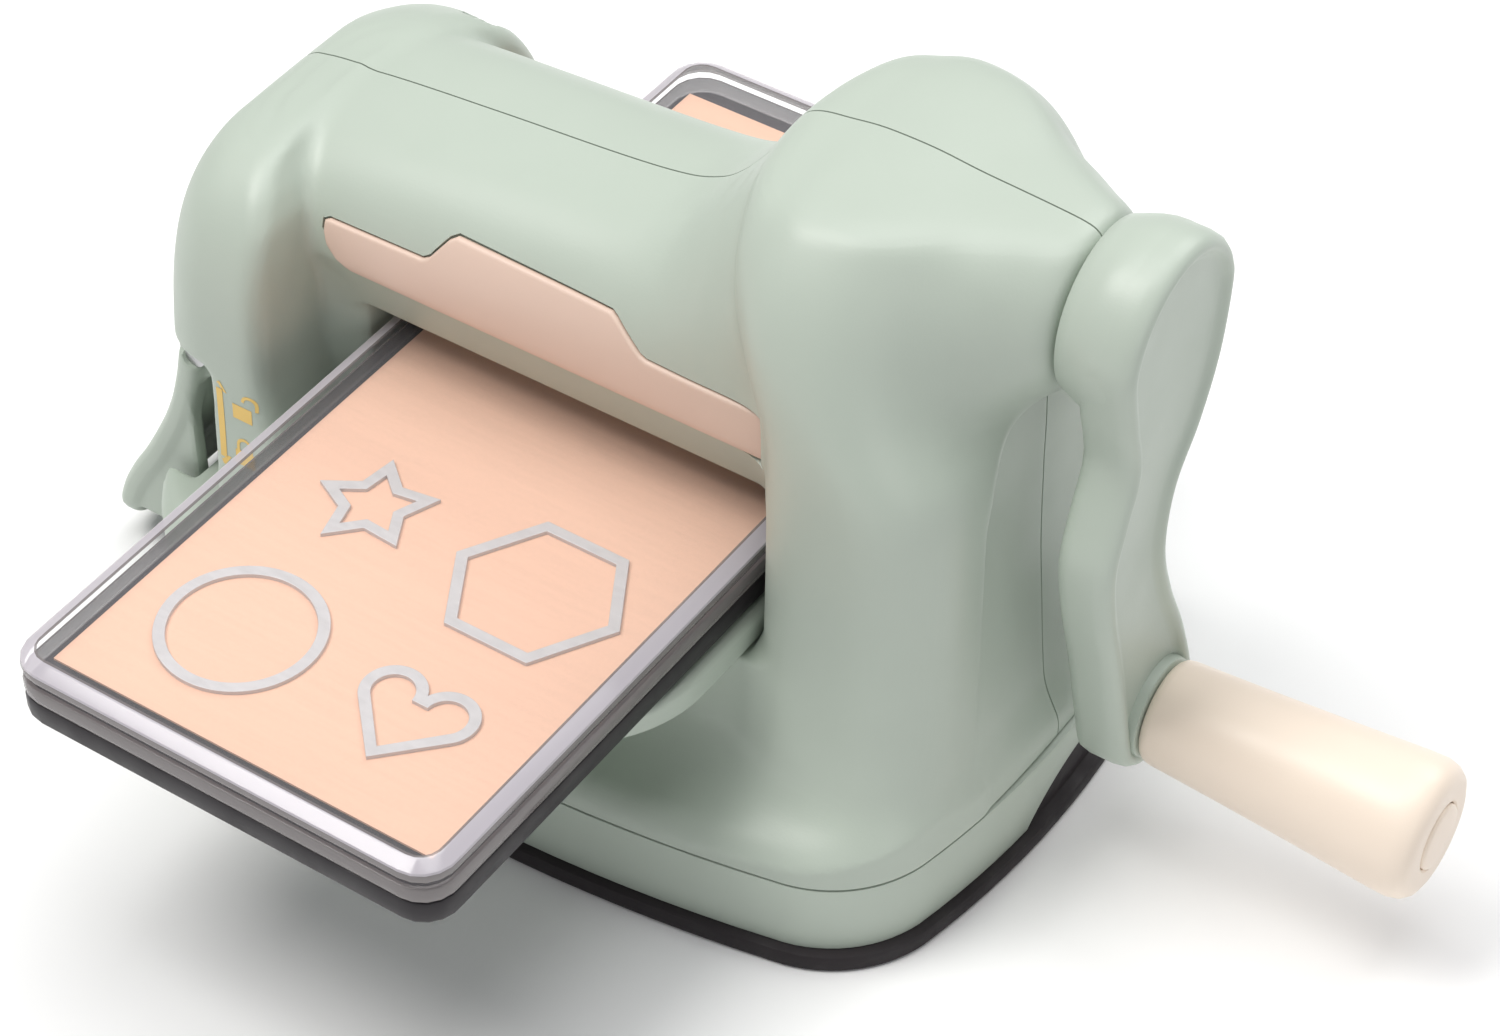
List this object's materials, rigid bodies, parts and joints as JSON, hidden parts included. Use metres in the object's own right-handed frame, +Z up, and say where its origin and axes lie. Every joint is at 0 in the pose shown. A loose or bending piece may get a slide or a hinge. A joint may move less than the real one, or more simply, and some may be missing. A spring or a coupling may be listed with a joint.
{
  "type": "die cutting machine",
  "caption": "Hand-cranked roller press for paper craft: two-pillar casing on a suction base, geared rollers that feed a stack of plates with card and thin dies.",
  "frame": {"origin": "on the table under the middle of the rollers, on the casing's seam plane", "axes": "+X along the rollers towards the crank, +Y to the back, +Z up"},
  "size_m": [0.2299, 0.1814, 0.125],
  "materials": {
    "sage_plastic": "satin moulded",
    "cream_plastic": "satin moulded",
    "black_rubber": "matt",
    "black_plastic": "fine grain",
    "clear_plastic": "polished",
    "card": "matt paper",
    "die_steel": "fine matt",
    "bush_brass": "turned",
    "steel": "machined"
  },
  "bodies": {
    "casing": {"front_shell": "sage_plastic", "rear_shell": "sage_plastic", "base_tray": "sage_plastic", "feed_deck": "sage_plastic", "front_trim": "cream_plastic", "suction_pad": "black_rubber", "upper_bushes": "bush_brass", "lower_bushes": "bush_brass", "crank_bushes": "bush_brass", "left_side_plate": "steel", "right_side_plate": "steel", "gear_plate": "steel", "gear_plate_spacers": "steel", "gear_plate_screws": "steel", "tie_rods": "steel", "tie_rod_nuts": "steel", "casing_screws": "steel", "tray_screws": "steel", "frame_screws": "steel", "lever_pin": "steel", "beam_bracket": "steel", "beam_pin": "steel"},
    "crank": {"crank_arm": "sage_plastic", "crank_shaft": "steel", "crank_pinion": "steel", "crank_clip": "steel", "grip_pin": "steel"},
    "grip": {"crank_grip": "cream_plastic", "grip_cap": "cream_plastic"},
    "upper_feed": {"upper_roller": "steel", "upper_drive_gear": "steel", "upper_mesh_gear": "steel", "upper_clips": "steel"},
    "lower_feed": {"lower_roller": "steel", "lower_mesh_gear": "steel", "lower_clips": "steel"},
    "plate_stack": {"base_plate": "black_plastic", "lower_cutting_plate": "clear_plastic", "card_sheet": "card", "star_die": "die_steel", "hexagon_die": "die_steel", "circle_die": "die_steel", "heart_die": "die_steel", "upper_cutting_plate": "clear_plastic"},
    "lever": {"suction_lever": "sage_plastic"},
    "beam": {"lift_beam": "steel"},
    "stud": {"suction_stud": "steel"}
  },
  "joints": [
    {"name": "crank_turn", "type": "hinge", "parent": "casing", "child": "crank", "pos_m": [0.085, 0, 0.1093], "axis": [1, 0, 0], "range_deg": [-1640, 1090]},
    {"name": "grip_spin", "type": "hinge", "parent": "crank", "child": "grip", "pos_m": [0.119, 0.004, 0.0294], "axis": [1, 0, 0], "continuous": true},
    {"name": "upper_roller_spin", "type": "hinge", "parent": "casing", "child": "upper_feed", "pos_m": [0, 0, 0.0733], "axis": [1, 0, 0], "range_deg": [-364, 547]},
    {"name": "lower_roller_spin", "type": "hinge", "parent": "casing", "child": "lower_feed", "pos_m": [0, 0, 0.0388], "axis": [1, 0, 0], "range_deg": [-547, 364]},
    {"name": "plate_feed", "type": "slide", "parent": "casing", "child": "plate_stack", "axis": [0, 1, 0], "range_m": [-0.0698, 0.105]},
    {"name": "lever_swing", "type": "hinge", "parent": "casing", "child": "lever", "pos_m": [-0.068, 0, 0.0515], "axis": [0, 1, 0], "range_deg": [0, 75]},
    {"name": "beam_tilt", "type": "hinge", "parent": "casing", "child": "beam", "pos_m": [-0.04, 0, 0.0123], "axis": [0, 1, 0], "range_deg": [0, 4.31]},
    {"name": "stud_lift", "type": "slide", "parent": "casing", "child": "stud", "axis": [0, 0, 1], "range_m": [-0.00301, 0], "deforming": ["suction_pad"]}
  ],
  "couplings": [
    {"joint": "upper_roller_spin", "follows": "crank_turn", "ratio": -0.33333},
    {"joint": "lower_roller_spin", "follows": "crank_turn", "ratio": 0.33333},
    {"joint": "plate_feed", "follows": "crank_turn", "m_per_rad": -0.0036667},
    {"joint": "beam_tilt", "follows": "lever_swing", "ratio": 0.0573},
    {"joint": "stud_lift", "follows": "lever_swing", "m_per_rad": -0.002292}
  ]
}
